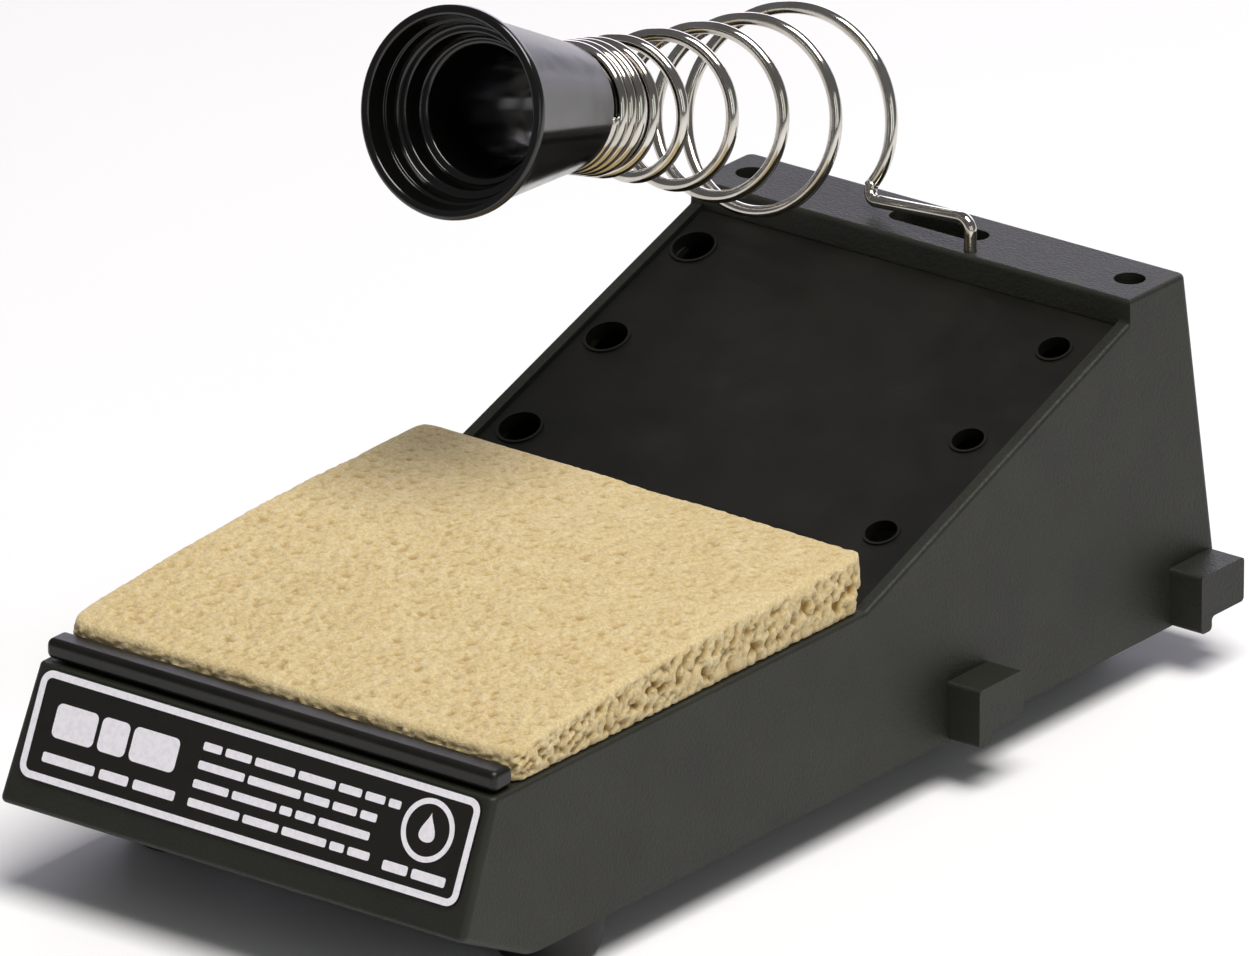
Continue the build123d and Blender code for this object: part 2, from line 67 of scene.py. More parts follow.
joints = {joint["name"]: joint for joint in frame["joints"]}


def corners_mm(node):
    """Lowest and highest corner of a CAD node, as arrays in millimetres."""
    low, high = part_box(node)
    return np.array(low) / MM, np.array(high) / MM


# ---- meshes ---------------------------------------------------------------------------------


def make_piece(name, vertices, faces, material, smooth=True):
    """An object at the origin from vertices in millimetres and faces wound outwards."""
    mesh = bpy.data.meshes.new(name)
    mesh.from_pydata((np.asarray(vertices) * MM).tolist(), [], [list(face) for face in faces])
    mesh.validate()
    mesh.polygons.foreach_set("use_smooth", np.full(len(mesh.polygons), smooth))
    mesh.materials.append(material)
    mesh.update()
    piece = bpy.data.objects.new(name, mesh)
    bpy.context.scene.collection.objects.link(piece)
    return piece


def band_faces(rings, points, close_rings=False, start=0):
    """Quads between neighbouring closed rings of equally many points, row after row."""
    ring = np.arange(rings if close_rings else rings - 1)[:, None]
    point = np.arange(points)[None, :]
    following = (ring + 1) % rings
    beside = (point + 1) % points
    quads = np.stack(
        [ring * points + point, ring * points + beside, following * points + beside,
         following * points + point], axis=-1)
    return (quads.reshape(-1, 4) + start).tolist()


def join_parts(parts):
    """One vertex array and one face list from several of each."""
    vertices = []
    faces = []
    for part_vertices, part_faces in parts:
        shift = sum(len(v) for v in vertices)
        vertices.append(np.asarray(part_vertices).reshape(-1, 3))
        faces += [[i + shift for i in face] for face in part_faces]
    return np.concatenate(vertices), faces


def tube(path, radius, reference, sides=16):
    """A round tube: each path point plus radius times (cos a * n + sin a * b), where b is the
    path's direction crossed with a fixed reference and n completes the frame; both ends domed."""
    direction = np.gradient(path, axis=0)
    direction /= np.linalg.norm(direction, axis=1, keepdims=True)
    sideways = np.cross(direction, reference)
    sideways /= np.linalg.norm(sideways, axis=1, keepdims=True)
    upwards = np.cross(sideways, direction)
    angle = np.linspace(0, 2 * pi, sides, endpoint=False)[None, :, None]
    rim = np.cos(angle) * upwards[:, None, :] + np.sin(angle) * sideways[:, None, :]
    rings = path[:, None, :] + radius * rim
    # three smaller rings beyond each end make a dome of half the radius
    dome = np.radians([30.0, 60.0, 80.0])
    dome_height = 0.5 * radius
    start = [
        path[0] - direction[0] * dome_height * sin(a) + radius * cos(a) * rim[0] for a in dome
    ]
    end = [
        path[-1] + direction[-1] * dome_height * sin(a) + radius * cos(a) * rim[-1] for a in dome
    ]
    rings = np.concatenate([np.array(start[::-1]), rings, np.array(end)])
    count = len(rings)
    faces = [face[::-1] for face in band_faces(count, sides)]
    faces.append(list(range(sides)))
    faces.append([(count - 1) * sides + i for i in range(sides)][::-1])
    return rings.reshape(-1, 3), faces


def rounded_outline(points, radii, step=10.0):
    """A flat outline with each corner replaced by an arc of its radius, in steps of so many
    degrees; an arc's centre lies on the corner's bisector at radius / sin(half the corner)."""
    points = np.asarray(points, float)
    result = []
    for i, (corner, radius) in enumerate(zip(points, radii)):
        back = points[i - 1] - corner
        ahead = points[(i + 1) % len(points)] - corner
        back /= np.linalg.norm(back)
        ahead /= np.linalg.norm(ahead)
        half = np.arccos(np.clip(back @ ahead, -1, 1)) / 2
        if radius == 0 or half > radians(89):
            result.append(corner)
            continue
        middle = (back + ahead) / np.linalg.norm(back + ahead)
        centre = corner + middle * radius / sin(half)
        first = corner + back * radius / tan(half) - centre
        last = corner + ahead * radius / tan(half) - centre
        turn = pi - 2 * half
        count = max(2, ceil(np.degrees(turn) / step) + 1)
        share = np.linspace(0, 1, count)[:, None]
        arc = (np.sin((1 - share) * turn) * first + np.sin(share * turn) * last) / sin(turn)
        result += list(centre + arc)
    return np.array(result)


def turned(outline, origin, axis, sides=96):
    """A solid of revolution: each outline point (along, radius) becomes a circle round the axis."""
    axis = np.asarray(axis) / np.linalg.norm(axis)
    side = np.cross(axis, (0, 0, 1.0))
    side /= np.linalg.norm(side)
    above = np.cross(side, axis)
    angle = np.linspace(0, 2 * pi, sides, endpoint=False)[None, :, None]
    along = outline[:, 0][:, None, None]
    radius = outline[:, 1][:, None, None]
    rings = origin + along * axis + radius * (np.cos(angle) * side + np.sin(angle) * above)
    return rings.reshape(-1, 3), band_faces(len(outline), sides, close_rings=True)


# ---- materials --------------------------------------------------------------------------------


def colour(code):
    """Linear colour with alpha from an sRGB hex code: the sRGB curve undone channel by channel."""
    channels = [int(code[i : i + 2], 16) / 255 for i in (1, 3, 5)]
    linear = [c / 12.92 if c <= 0.04045 else ((c + 0.055) / 1.055) ** 2.4 for c in channels]
    return (*linear, 1.0)


def add_node(tree, kind, settings=None, **links):
    """A node with its settings, and its inputs linked to sockets or set to values."""
    node = tree.nodes.new(kind)
    for key, value in (settings or {}).items():
        setattr(node, key, value)
    for key, value in links.items():
        socket = node.inputs[int(key[1:])] if key[0] == "i" and key[1:].isdigit() else node.inputs[
            key.replace("_", " ")]
        if isinstance(value, bpy.types.NodeSocket):
            tree.links.new(value, socket)
        else:
            socket.default_value = value
    return node


def new_material(name, base, roughness, **constants):
    """A material with one principled shader; returns it with its tree, shader and coordinates."""
    material = bpy.data.materials.new(name)
    material.use_nodes = True
    tree = material.node_tree
    shader = tree.nodes["Principled BSDF"]
    shader.inputs["Base Color"].default_value = colour(base)
    shader.inputs["Roughness"].default_value = roughness
    for key, value in constants.items():
        shader.inputs[key.replace("_", " ")].default_value = value
    place = add_node(tree, "ShaderNodeTexCoord").outputs["Object"]
    return material, tree, shader, place


def noise_at(tree, place, size_mm, detail=3.0, roughness=0.55):
    """Noise whose features measure about size_mm."""
    return add_node(
        tree, "ShaderNodeTexNoise", Vector=place, Scale=1 / (size_mm * MM), Detail=detail,
        Roughness=roughness).outputs["Fac"]


def mixed_colour(tree, factor, low, high, first, second):
    """Colour that runs from first to second while the factor goes from low to high."""
    ramp = add_node(tree, "ShaderNodeValToRGB", Fac=factor)
    ramp.color_ramp.elements[0].position = low
    ramp.color_ramp.elements[0].color = colour(first)
    ramp.color_ramp.elements[1].position = high
    ramp.color_ramp.elements[1].color = colour(second)
    return ramp.outputs["Color"]


def set_bump(tree, shader, height, depth_mm, strength=1.0):
    """Bump of a real depth on the shader."""
    bump = add_node(
        tree, "ShaderNodeBump", Height=height, Distance=depth_mm * MM, Strength=strength)
    tree.links.new(bump.outputs["Normal"], shader.inputs["Normal"])


def set_colour(tree, shader, factor, low, high, first, second):
    """Base colour that runs from first to second while the factor goes from low to high."""
    tree.links.new(
        mixed_colour(tree, factor, low, high, first, second), shader.inputs["Base Color"])


def spread(tree, value, low, high):
    """The value from 0 to 1 stretched to run from low to high."""
    return add_node(
        tree, "ShaderNodeMapRange", Value=value, To_Min=low, To_Max=high).outputs["Result"]


def textured_abs():
    """ABS moulded against a spark-eroded steel face: a fine, even grit that scatters light, so it
    looks grey where light grazes it. The grit is 0.5 mm, as coarse as it needs to show."""
    material, tree, shader, place = new_material(
        "spark_eroded_abs", "#24241e", 0.55, IOR=1.48, Specular_IOR_Level=0.4)
    patches = noise_at(tree, place, 14, 2.0)
    set_colour(tree, shader, patches, 0.3, 0.7, "#1d1e17", "#25261e")
    grit = noise_at(tree, place, 0.5, 2.0)
    tree.links.new(spread(tree, grit, 0.44, 0.62), shader.inputs["Roughness"])
    set_bump(tree, shader, grit, 0.09)
    return material


def smooth_abs():
    """ABS moulded against a plainly ground face: darker and smoother, with faint flow marks."""
    material, tree, shader, place = new_material(
        "smooth_abs", "#151410", 0.36, IOR=1.48, Specular_IOR_Level=0.4)
    marks = noise_at(tree, place, 9, 3.0)
    set_colour(tree, shader, marks, 0.3, 0.75, "#0e0e09", "#161510")
    tree.links.new(spread(tree, marks, 0.3, 0.44), shader.inputs["Roughness"])
    set_bump(tree, shader, noise_at(tree, place, 1.1, 2.0), 0.02)
    return material


def phenolic():
    """Phenolic resin pressed in a polished mould: black and glossy, with a slight waviness."""
    material, tree, shader, place = new_material(
        "polished_phenolic", "#0b0b0a", 0.14, IOR=1.55, Specular_IOR_Level=0.55)
    haze = noise_at(tree, place, 5, 2.0)
    tree.links.new(spread(tree, haze, 0.1, 0.2), shader.inputs["Roughness"])
    set_bump(tree, shader, noise_at(tree, place, 4, 1.0), 0.02)
    return material


def plated_wire():
    """Spring steel wire, drawn and nickel plated: a warm mirror with faint draw marks."""
    material, tree, shader, place = new_material(
        "nickel_plated_wire", "#c9c6bf", 0.08, Metallic=1.0)
    stain = noise_at(tree, place, 6, 2.0)
    set_colour(tree, shader, stain, 0.35, 0.7, "#bfbab0", "#d6d3cc")
    haze = noise_at(tree, place, 1.5, 3.0)
    tree.links.new(spread(tree, haze, 0.05, 0.14), shader.inputs["Roughness"])
    set_bump(tree, shader, noise_at(tree, place, 0.7, 2.0), 0.004)
    return material


def moulded_rubber():
    """Moulded rubber foot: matte black with a bloom of grey on its surface."""
    material, tree, shader, place = new_material("moulded_rubber", "#1b1a1a", 0.7, IOR=1.5)
    bloom = noise_at(tree, place, 2.5, 3.0)
    set_colour(tree, shader, bloom, 0.35, 0.75, "#161515", "#232122")
    set_bump(tree, shader, noise_at(tree, place, 0.4, 2.0), 0.03)
    return material


def zinc_plate():
    """Zinc-plated steel screws: bright, slightly blue and cloudy."""
    material, tree, shader, place = new_material("zinc_plated_steel", "#b9bcc0", 0.34, Metallic=1.0)
    cloud = noise_at(tree, place, 1.2, 3.0)
    tree.links.new(spread(tree, cloud, 0.25, 0.48), shader.inputs["Roughness"])
    set_colour(tree, shader, cloud, 0.3, 0.7, "#a9adb3", "#c8c8c4")
    return material


def rolled_steel():
    """Rolled steel plate: dull, with scale in darker patches."""
    material, tree, shader, place = new_material("rolled_steel", "#6f6e6c", 0.5, Metallic=1.0)
    scale = noise_at(tree, place, 7, 4.0)
    set_colour(tree, shader, scale, 0.35, 0.65, "#55524f", "#83827f")
    tree.links.new(spread(tree, scale, 0.4, 0.62), shader.inputs["Roughness"])
    return material


def label_film():
    """Printed polycarbonate film: black and semi-gloss, with the faintest orange peel."""
    material, tree, shader, place = new_material("printed_film", "#16150f", 0.3, IOR=1.58)
    peel = noise_at(tree, place, 1.4, 1.0)
    tree.links.new(spread(tree, peel, 0.24, 0.36), shader.inputs["Roughness"])
    set_bump(tree, shader, peel, 0.012)
    return material


def white_ink():
    """Screen-printed white ink: opaque, slightly uneven in thickness."""
    material, tree, shader, place = new_material("white_screen_ink", "#f4f1fa", 0.42, IOR=1.5)
    cover = noise_at(tree, place, 0.8, 2.0)
    set_colour(tree, shader, cover, 0.3, 0.6, "#efecf5", "#faf8fd")
    return material


def cellulose():
    """Cellulose sponge: a matte tan crust of short fibres, paler on its ridges as a painted
    highlight, and with painted shade, a darker yellow-brown, down in its pores, which the piece's
    own depth attribute marks."""
    material, tree, shader, place = new_material(
        "cellulose_sponge", "#d4bd8a", 0.92, IOR=1.4, Sheen_Weight=0.25, Sheen_Roughness=0.5)
    patches = mixed_colour(tree, noise_at(tree, place, 6, 3.0), 0.3, 0.7, "#d2b981", "#e0cc9c")
    # fibre grain in colour specks; the same noise makes the bump, so the pale specks on its ridges
    # are a painted highlight
    fibres = noise_at(tree, place, 0.55, 4.0, 0.7)
    fleck_and_ridge_highlight = mixed_colour(tree, fibres, 0.35, 0.68, "#b8984f", "#f6e9c6")
    crust = add_node(
        tree, "ShaderNodeMix", {"data_type": "RGBA"}, i0=0.42, i6=patches, i7=fleck_and_ridge_highlight).outputs[2]
    # painted shade: the colour turns darker yellow-brown as the pores get deeper
    depth = add_node(tree, "ShaderNodeAttribute", {"attribute_name": "pore_shade_depth"}).outputs["Fac"]
    deep = add_node(
        tree, "ShaderNodeMapRange", Value=depth, From_Min=0.1, From_Max=0.7).outputs["Result"]
    colour_with_pore_shade = add_node(
        tree, "ShaderNodeMix", {"data_type": "RGBA"}, i0=deep, i6=crust,
        i7=colour("#a07c3a")).outputs[2]
    tree.links.new(colour_with_pore_shade, shader.inputs["Base Color"])
    set_bump(tree, shader, fibres, 0.28)
    return material


def floor_paint():
    """Plain pale studio floor."""
    material, tree, shader, place = new_material("studio_floor", "#fbfbfb", 0.8)
    set_colour(tree, shader, noise_at(tree, place, 400, 2.0), 0.3, 0.7, "#f9f9fa", "#fcfcfd")
    return material


# ---- the CAD nodes keep their shapes ------------------------------------------------------------
housing_finish = textured_abs()
screw_finish = zinc_plate()
rubber_finish = moulded_rubber()
finishes = {
    "housing": housing_finish,
    "bottom_cover": housing_finish,
    "tip_tray": smooth_abs(),
    "front_label": label_film(),
    "ballast_weight": rolled_steel(),
    "ballast_screws": screw_finish,
    "foot_screws": screw_finish,
    "leg_clip": screw_finish,
    "foot_front_left": rubber_finish,
    "foot_front_right": rubber_finish,
    "foot_rear_left": rubber_finish,
    "foot_rear_right": rubber_finish,
}
for node_name, finish in finishes.items():
    materials = nodes[node_name].data.materials
    materials.clear()
    materials.append(finish)

# ---- wire holder ------------------------------------------------------------------------------
plate_z = corners_mm("housing")[1][2]
leg_x, leg_y = np.array(joints["holder_swivel"]["pos_m"][:2]) / MM
wire_r = 1.0
wire_bend = 1.8
kink_height = wire_r + 0.35      # the wire's middle above the top plate, at the kink
kink_inset = 4.1                 # the kink stands inside the coil's right-hand side
kink_share = 0.1                 # of a turn, from the kink to the coil's right-hand side
run_rise = 3.7                   # the run climbs from the kink to the top of the leg
leg_below_plate = 20.0
coil_mouth = np.array([-27.6, leg_y + 5.95, plate_z + 11.3])
coil_heading = radians(3.6)      # off straight ahead, towards +X
coil_tilt = radians(20.4)        # upwards, at the mouth
coil_droop = radians(0.05)       # less per millimetre, towards the funnel
neck_r = 9.0
flare = 4.7
mouth_flare = 3.4
open_pitch = 12.35
open_turns = 4
closed_pitch = 2.08
closed_turns = 5
closing_turns = 0.71
ahead = np.array([sin(coil_heading), -cos(coil_heading), 0.0])
across = np.array([cos(coil_heading), sin(coil_heading), 0.0])
above = np.array([0.0, 0.0, 1.0])


def coil_distance(turn):
    """Distance along the coil's middle: open_pitch per turn, then turns that close up so that
    the pitch falls to closed_pitch as exp(-turns / closing_turns)."""
    extra = np.maximum(turn - open_turns, 0.0)
    closing = (open_pitch - closed_pitch) * closing_turns * (1 - np.exp(-extra / closing_turns))
    return open_pitch * np.minimum(turn, open_turns) + closed_pitch * extra + closing


coil_length = float(coil_distance(np.array(open_turns + closed_turns)))


def middle_line(distance):
    """Place, direction and upward direction on an arc that droops evenly from the mouth's tilt:
    tilt = coil_tilt - coil_droop * distance, and place is its integral."""
    distance = np.asarray(distance, float)[..., None]
    tilt = coil_tilt - coil_droop * distance
    forward = (sin(coil_tilt) - np.sin(tilt)) / coil_droop
    rise = (np.cos(tilt) - cos(coil_tilt)) / coil_droop
    place = coil_mouth + ahead * forward + above * rise
    direction = ahead * np.cos(tilt) + above * np.sin(tilt)
    upward = above * np.cos(tilt) - ahead * np.sin(tilt)
    return place, direction, upward


def coil_points(turn):
    """The wire's middle: the line's place plus the radius at angle 2 pi * turn round it, where the
    radius is neck + flare * u + mouth_flare * u^3 and u falls from 1 at the mouth to 0."""
    distance = coil_distance(turn)
    place, _, upward = middle_line(distance)
    u = (1 - distance / coil_length)[:, None]
    radius = neck_r + flare * u + mouth_flare * u**3
    angle = 2 * pi * turn[:, None]
    return place + radius * (across * np.cos(angle) + upward * np.sin(angle))


def bent_run(points, radii, step=0.5):
    """A path of straight runs joined by arcs: like rounded_outline, but open and in space."""
    pieces = [points[0][None, :]]
    for before, corner, after, radius in zip(points, points[1:], points[2:], radii):
        back = (before - corner) / np.linalg.norm(before - corner)
        onward = (after - corner) / np.linalg.norm(after - corner)
        half = np.arccos(back @ onward) / 2
        centre = corner + (back + onward) / np.linalg.norm(back + onward) * radius / sin(half)
        first = corner + back * radius / tan(half) - centre
        last = corner + onward * radius / tan(half) - centre
        turn = pi - 2 * half
        share = np.linspace(0, 1, 14)[:, None]
        swing = np.sin((1 - share) * turn) * first + np.sin(share * turn) * last
        arc = centre + swing / sin(turn)
        gap = np.linalg.norm(arc[0] - pieces[-1][-1])
        straight = np.linspace(0, 1, max(2, int(gap / step)))[1:-1, None]
        pieces += [pieces[-1][-1] + (arc[0] - pieces[-1][-1]) * straight, arc]
    return np.concatenate(pieces)


def make_wire():
    """One wire: leg, bend, run over the plate, kink and the coil's turns."""
    turns = np.linspace(0, open_turns + closed_turns, 900)
    coil = coil_points(turns)
    rising = (coil[1] - coil[0]) / np.linalg.norm(coil[1] - coil[0])
    # below its right-hand side the coil bends inwards once more, down to the kink
    middle, _, upward = middle_line(-kink_share * open_pitch)
    drop = (middle[2] - plate_z - kink_height) / upward[2]
    kink = middle + across * (neck_r + flare + mouth_flare - kink_inset) - upward * drop
    bend_length = 4.5               # from the last corner to where the coil begins
    last_corner = coil[0] - rising * bend_length
    onward = (last_corner - kink) / np.linalg.norm(last_corner - kink)
    last_bend = bend_length / tan(np.arccos(onward @ rising) / 2)
    leg_top = np.array([leg_x, leg_y, plate_z + kink_height + run_rise])
    leg_bottom = np.array([leg_x, leg_y, plate_z - leg_below_plate])
    route = [leg_bottom, leg_top, kink, last_corner, coil[0]]
    run = bent_run(route, [wire_bend, wire_bend, last_bend])
    vertices, faces = tube(np.concatenate([run[:-1], coil]), wire_r, middle_line(0.0)[1])
    wire = make_piece("spring_wire", vertices, faces, plated_wire())
    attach(wire, "holder")
    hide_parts("coil_holder")


def make_funnel():
    """The funnel turned round the last stretch of the coil's middle line, with the edges of its
    section rounded but for the slight bend from spigot to cone: spigot, shoulder, cone, lip,
    stepped mouth, ledge and tapering throat."""
    length = 30.1
    lip = 1.6
    rim_r = 16.1
    shoulder = coil_length + wire_r
    neck = middle_line(shoulder)[0]
    axis = middle_line(shoulder + length)[0] - neck
    section = [
        ((-9.5, 6.6), 0.3), ((0.0, 6.6), 0.0), ((21.1, 9.9), 0.8), ((21.1, 11.1), 0.55),
        ((24.3, 11.74), 0.5), ((24.3, 13.04), 0.6), ((26.8, 13.54), 0.19), ((26.8, 13.94), 0.19),
        ((length, 14.6), 0.5), ((length, rim_r), 0.65),
        ((length - lip, rim_r), 0.45), ((length - lip, 15.2), 0.3), ((0.0, 9.9), 0.45),
        ((0.0, 7.9), 0.1), ((-9.5, 7.9), 0.3),
    ]
    points = [point for point, _ in section]
    radii = [radius for _, radius in section]
    outline = rounded_outline(points, radii, 12)
    vertices, faces = turned(outline, neck, axis)
    funnel = make_piece("moulded_funnel", vertices, faces, phenolic())
    funnel.data.set_sharp_from_angle(angle=radians(50))
    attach(funnel, "holder")
    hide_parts("holder_funnel")


# ---- sponge ---------------------------------------------------------------------------------
def smooth_field(shape, spacing, feature, seed, spread_share=0.35):
    """Random waves whose lengths lie near one feature size: white noise with its spectrum kept in
    a Gaussian band round 1 / feature, scaled to a deviation of 1."""
    noise = np.random.default_rng(seed).standard_normal(shape)
    along = np.fft.fftfreq(shape[0], spacing)[:, None]
    beside = np.fft.fftfreq(shape[1], spacing)[None, :]
    wave = np.hypot(along, beside)
    band = np.exp(-(((wave * feature) - 1) / (2 * spread_share)) ** 2)
    field = np.fft.ifft2(np.fft.fft2(noise) * band).real
    return field / field.std()


def pores(shape, spacing, layers, seed):
    """Depth of the open pores: where a field of one size rises over its threshold, the excess
    over it, softened by a square root, times the layer's depth; the deepest layer counts."""
    depth = np.zeros(shape)
    for number, (feature, threshold, deep) in enumerate(layers):
        field = smooth_field(shape, spacing, feature, seed + number)
        depth = np.maximum(depth, deep * np.sqrt(np.clip((field - threshold) / 1.2, 0, 1)))
    return depth


def make_sponge():
    """A cut block of sponge: a grid over its top, a band round its sides and one face beneath.
    Corners are rounded by mapping the square's corners to quarter discs, the top is warped and
    pitted, and the sides bow and carry larger cut pores."""
    low, high = corners_mm("sponge")
    spacing = 0.42
    corner = 3.0
    rear_lean = 1.1
    across_count = int((high[0] - low[0]) / spacing) + 1
    deep_count = int((high[1] - low[1]) / spacing) + 1
    side_count = 17
    x = np.linspace(low[0], high[0], across_count)[:, None] * np.ones((1, deep_count))
    y = np.linspace(low[1], high[1], deep_count)[None, :] * np.ones((across_count, 1))
    middle = (low + high) / 2
    half = (high - low) / 2
    # corners: inside the corner square the place (a, b) moves to (a sqrt(1-b^2/2), b sqrt(1-a^2/2))
    a = np.clip((np.abs(x - middle[0]) - half[0] + corner) / corner, 0, 1)
    b = np.clip((np.abs(y - middle[1]) - half[1] + corner) / corner, 0, 1)
    x_top = x - np.sign(x - middle[0]) * corner * a * (1 - np.sqrt(1 - b**2 / 2))
    y_top = y - np.sign(y - middle[1]) * corner * b * (1 - np.sqrt(1 - a**2 / 2))
    u = (x - middle[0]) / half[0]
    v = (y - low[1]) / (high[1] - low[1])
    rise = high[2] - low[2]
    edge = np.minimum(half[0] - np.abs(x - middle[0]), half[1] - np.abs(y - middle[1]))
    # the top climbs as 1 - (1 - v)^climb_power and stands higher towards the rear left
    front_height = 4.6
    climb = 4.35
    climb_power = 3.2
    warped = front_height + climb * (1 - (1 - v) ** climb_power) + v**3 * (0.25 - 0.35 * u)
    warped += 0.12 * smooth_field(x.shape, spacing, 28.0, 5)
    round_edge = 1.1
    near_edge = np.clip(1 - edge / round_edge, 0, 1)
    warped -= round_edge * (1 - np.sqrt(1 - near_edge**2)) * 0.75
    fuzz = 0.12 * smooth_field(x.shape, spacing, 2.8, 11)
    fuzz += 0.09 * smooth_field(x.shape, spacing, 1.5, 12)
    fuzz *= np.clip(edge / 2.5, 0.3, 1)
    pits = pores(x.shape, spacing, [(3.0, 1.35, 0.45), (1.8, 1.35, 0.5)], 21)
    pits *= np.clip(edge / 2, 0.2, 1)
    ceiling = rise - 0.02
    surface = warped + fuzz - pits
    # soft ceiling: x - ln(1 + exp(k (x - c))) / k stays below c
    hardness = 6
    excess = np.clip(hardness * (surface - ceiling + 0.1), -40, 40)
    top = low[2] + surface - np.log1p(np.exp(excess)) / hardness
    top = np.clip(top, low[2] + 1.5, low[2] + ceiling)
    # depth for the painted shade in the pores: pit depth plus the low spots of the fuzz
    top_depth = pits / 1.1 + np.clip(-fuzz, 0, 0.3)
    # rim indices run round the top: front, right, rear, left
    index = np.arange(across_count * deep_count).reshape(across_count, deep_count)
    rim = np.concatenate([index[:, 0], index[-1, 1:], index[-2::-1, -1], index[0, -2:0:-1]])
    rim_count = len(rim)
    top_points = np.stack([x_top, y_top, top], axis=-1).reshape(-1, 3)
    rim_points = top_points[rim]
    outward = rim_points[:, :2] - middle[:2]
    inner = np.clip(outward, -(half[:2] - corner), half[:2] - corner)
    outward = outward - inner
    outward /= np.maximum(np.linalg.norm(outward, axis=1, keepdims=True), 1e-6)
    level = np.linspace(1, 0, side_count)[1:, None]
    grain = (side_count, rim_count)
    cut = np.clip(np.abs(outward[:, 0]) + np.clip(outward[:, 1], 0, 1), 0.15, 1)
    side_pits = pores(grain, spacing, [(2.7, 0.55, 1.25), (1.8, 0.9, 0.8)], 31)[1:] * cut
    side_fuzz = 0.14 * smooth_field(grain, spacing, 2.4, 41)[1:]
    fade = np.sin(np.clip(level, 0.02, 1) * pi) ** 0.5
    bulge = 0.25 * np.sin(level * pi)
    outwards = bulge + fade * (side_fuzz - side_pits)
    flat = rim_points[None, :, :2] + outward[None] * outwards[:, :, None]
    height = low[2] + (rim_points[None, :, 2:] - low[2]) * level[:, :, None]
    # the rear face leans back: its foot stands in front of its top edge
    rim_share = (rim_points[:, 1] - low[1]) / (high[1] - low[1])
    flat[:, :, 1] -= rear_lean * (1 - level) * np.clip(8 * rim_share - 7, 0, 1)
    side_points = np.concatenate([flat, height], axis=-1)
    vertices = np.concatenate([top_points, side_points.reshape(-1, 3)])
    top_quads = [index[:-1, :-1], index[1:, :-1], index[1:, 1:], index[:-1, 1:]]
    faces = np.stack(top_quads, axis=-1).reshape(-1, 4).tolist()
    start = len(top_points)
    side_index = start + np.arange(side_points[..., 0].size).reshape(-1, rim_count)
    rows = np.concatenate([rim[None, :], side_index])
    beside = np.roll(rows, -1, axis=1)
    side_quads = [rows[1:], beside[1:], beside[:-1], rows[:-1]]
    faces += np.stack(side_quads, axis=-1).reshape(-1, 4).tolist()
    faces.append(rows[-1][::-1].tolist())
    sponge = make_piece("cut_sponge", vertices, faces, cellulose())
    # the material paints shade into the pores from this depth
    depth = np.concatenate([top_depth.reshape(-1), (fade * side_pits / 1.3).reshape(-1)])
    attribute = sponge.data.attributes.new("pore_shade_depth", "FLOAT", "POINT")
    attribute.data.foreach_set("value", depth.astype(np.float32))
    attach(sponge, "sponge_pad")
    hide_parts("sponge")


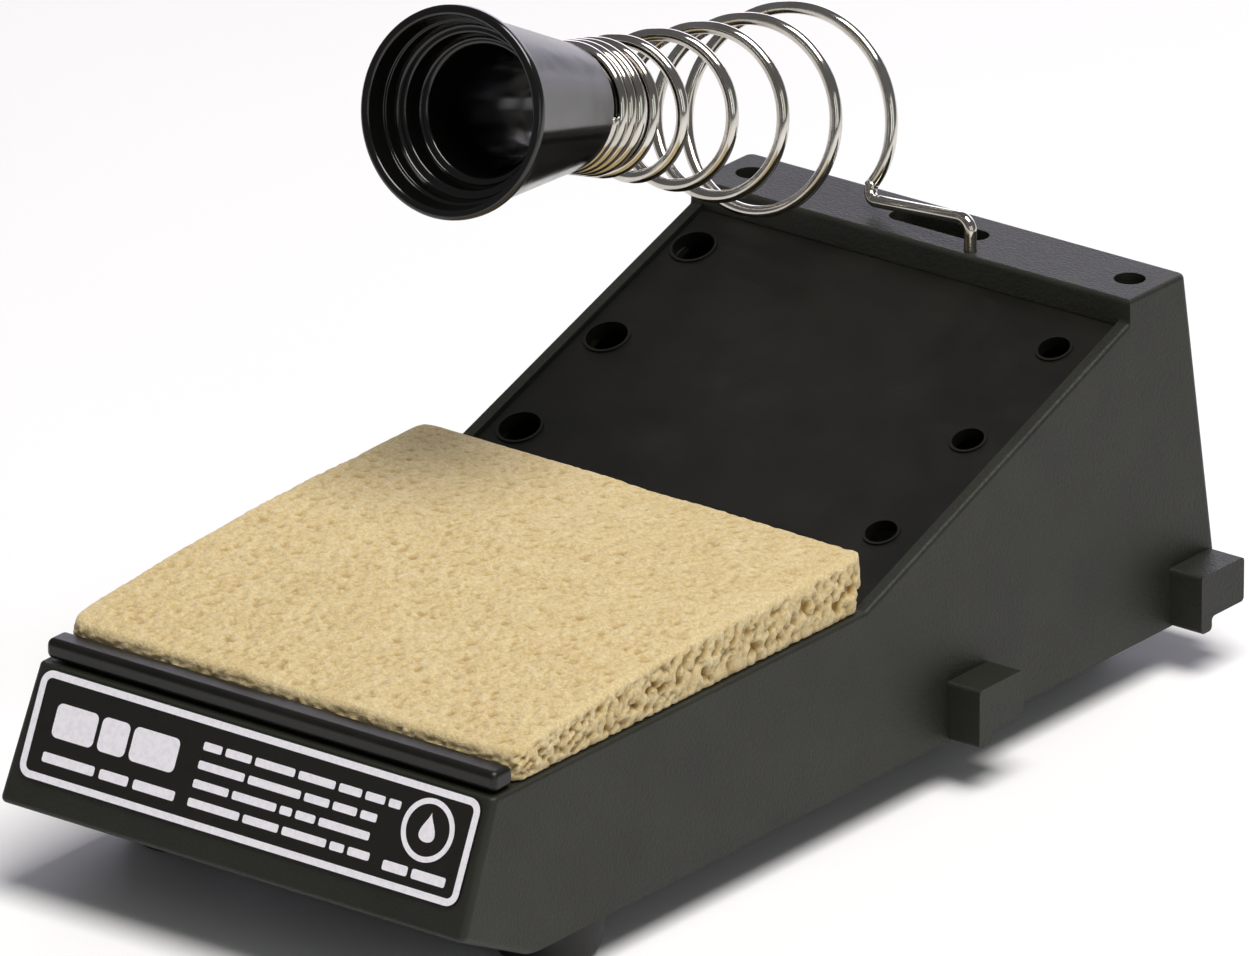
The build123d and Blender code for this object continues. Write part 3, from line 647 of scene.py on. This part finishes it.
# ---- print on the label ---------------------------------------------------------------------
def make_print():
    """White ink on the label: a rounded border and plain bars, dashes and a ring that stand in
    for print. Each shape is a slab: an outline low and high on the label, its top one face."""
    low, high = corners_mm("front_label")
    lean = radians(24.18)
    thickness = 0.3
    ink = 0.05
    width = high[0] - low[0]
    height = (high[1] - low[1] - thickness * cos(lean)) / sin(lean)
    up = np.array([0.0, sin(lean), cos(lean)])
    right = np.array([1.0, 0.0, 0.0])
    out = np.array([0.0, -cos(lean), sin(lean)])
    origin = np.array([low[0], low[1], low[2] + thickness * sin(lean)])
    parts = []

    def on_label(flat, lift):
        """Places measured from the label's lower left corner, lifted off its face."""
        return origin + flat[:, :1] * right + flat[:, 1:] * up + out * lift

    def ring(outer, inner):
        """A closed band between two outlines of equally many points."""
        rings = [on_label(outer, 0), on_label(outer, ink), on_label(inner, ink), on_label(inner, 0)]
        parts.append((np.concatenate(rings), band_faces(4, len(outer), close_rings=True)))

    def slab(outline):
        """A raised patch with a flat top."""
        count = len(outline)
        faces = band_faces(2, count) + [list(range(count, 2 * count)), list(range(count))[::-1]]
        parts.append((np.concatenate([on_label(outline, 0), on_label(outline, ink)]), faces))

    def box(left, bottom, wide, tall, radius):
        """A rectangle with rounded corners, counter-clockwise from its lower left."""
        far = left + wide
        top = bottom + tall
        points = [(left, bottom), (far, bottom), (far, top), (left, top)]
        return rounded_outline(points, [radius] * 4, 15)

    edge = 0.1
    border = 1.1
    inset = edge + border
    ring(
        box(edge, edge, width - 2 * edge, height - 2 * edge, 2.1),
        box(inset, inset, width - 2 * inset, height - 2 * inset, 1.0))
    # a heading of plain blocks, with a row of dashes under it
    for left, wide in ((4.3, 7.8), (12.9, 5.2), (18.9, 8.6)):
        slab(box(left, 6.9, wide, 5.2, 1.0))
    for left, wide in ((3.8, 9.8), (14.6, 5.4), (21.0, 7.8)):
        slab(box(left, 3.0, wide, 1.5, 0.35))
    # four rows of dashes in the middle
    rows = (
        (3.4, 4.8, 7.4, 6.8, 4.2, 3.6, 2.2), (8.6, 9.8, 4.6, 4.4, 3.0), (6.6, 8.2, 2.2, 3.6, 9.4),
        (9.6, 6.6, 8.2, 2.6, 4.0))
    first_row = 11.6
    row_pitch = 2.85
    gap = 0.75
    for row, words in enumerate(rows):
        left = 31.3 + 0.1 * (len(rows) - row)
        for word in words:
            slab(box(left, first_row - row_pitch * row, word, 1.25, 0.3))
            left += word + gap
    # a ring round a plain drop, and two dashes under it
    angle = np.linspace(0, 2 * pi, 48, endpoint=False)
    circle = np.stack([np.cos(angle), np.sin(angle)], axis=-1)
    centre = np.array([width - 8.3, 9.95])
    ring(centre + circle * 4.75, centre + circle * 3.9)
    drop = np.stack([np.sin(angle) * (1 - np.cos(angle)) * 1.1, 0.4 + 2.2 * np.cos(angle)], axis=-1)
    slab((centre + drop)[::-1])
    for left, wide in ((width - 14.6, 4.6), (width - 9.2, 6.2)):
        slab(box(left, 2.5, wide, 1.5, 0.35))
    vertices, faces = join_parts(parts)
    ink_piece = make_piece("label_print", vertices, faces, white_ink(), smooth=False)
    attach(ink_piece, "stand")


make_wire()
make_funnel()
make_sponge()
make_print()


# ---- studio ---------------------------------------------------------------------------------
def make_floor():
    """A large square floor under the feet."""
    reach = 4000.0
    z = cad_bounds[0][2] / MM
    corners = [(-reach, -reach, z), (reach, -reach, z), (reach, reach, z), (-reach, reach, z)]
    floor = make_piece("studio_floor", corners, [(0, 1, 2, 3)], floor_paint())


def aim(thing, place, target):
    """Put a light or camera at a place and turn it to the target."""
    thing.location = place
    thing.rotation_euler = (Vector(target) - Vector(place)).to_track_quat("-Z", "Y").to_euler()


def softbox(name, place, target, width, height, watts, tint="#ffffff"):
    """A rectangular soft light."""
    light = bpy.data.lights.new(name, "AREA")
    light.shape = "RECTANGLE"
    light.size = width
    light.size_y = height
    light.energy = watts
    light.color = colour(tint)[:3]
    lamp = bpy.data.objects.new(name, light)
    bpy.context.scene.collection.objects.link(lamp)
    aim(lamp, place, target)


def make_studio():
    """Soft boxes overhead, to the right and behind, and a strip in front, in a dim pale room."""
    centre = (0.0, 0.0, 0.03)
    softbox("overhead_softbox", (0.35, -0.05, 1.3), centre, 0.8, 0.8, 19.0, "#fffcf8")
    softbox("right_softbox", (1.4, -0.35, 0.45), centre, 0.8, 0.7, 1.5, "#f0fbea")
    softbox("rear_softbox", (-0.55, 1.5, 0.46), centre, 1.5, 0.8, 10.0, "#f1ecff")
    softbox("front_strip", (1.15, -1.25, 0.45), centre, 0.16, 0.6, 1.1, "#f3eeff")
    world = bpy.data.worlds.new("dim_room")
    bpy.context.scene.world = world
    world.use_nodes = True
    background = world.node_tree.nodes["Background"]
    background.inputs["Color"].default_value = colour("#f4f4f8")
    background.inputs["Strength"].default_value = 0.16
    bpy.context.scene.view_settings.view_transform = "Standard"


def make_camera():
    """A long lens far off, turned a little to the right of the front and looking down."""
    azimuth = radians(37.71)
    elevation = radians(22.15)
    target = Vector((-20.71, 28.38, 25.0)) * MM
    distance = 3029.67 * MM
    back = Vector((sin(azimuth) * cos(elevation), -cos(azimuth) * cos(elevation), sin(elevation)))
    camera = bpy.data.objects.new("camera", bpy.data.cameras.new("camera"))
    bpy.context.scene.collection.objects.link(camera)
    camera.data.sensor_width = 36.0
    camera.data.lens = 576.5
    camera.data.clip_end = 50.0
    aim(camera, target + back * distance, target)
    bpy.context.scene.camera = camera


make_floor()
make_studio()
make_camera()
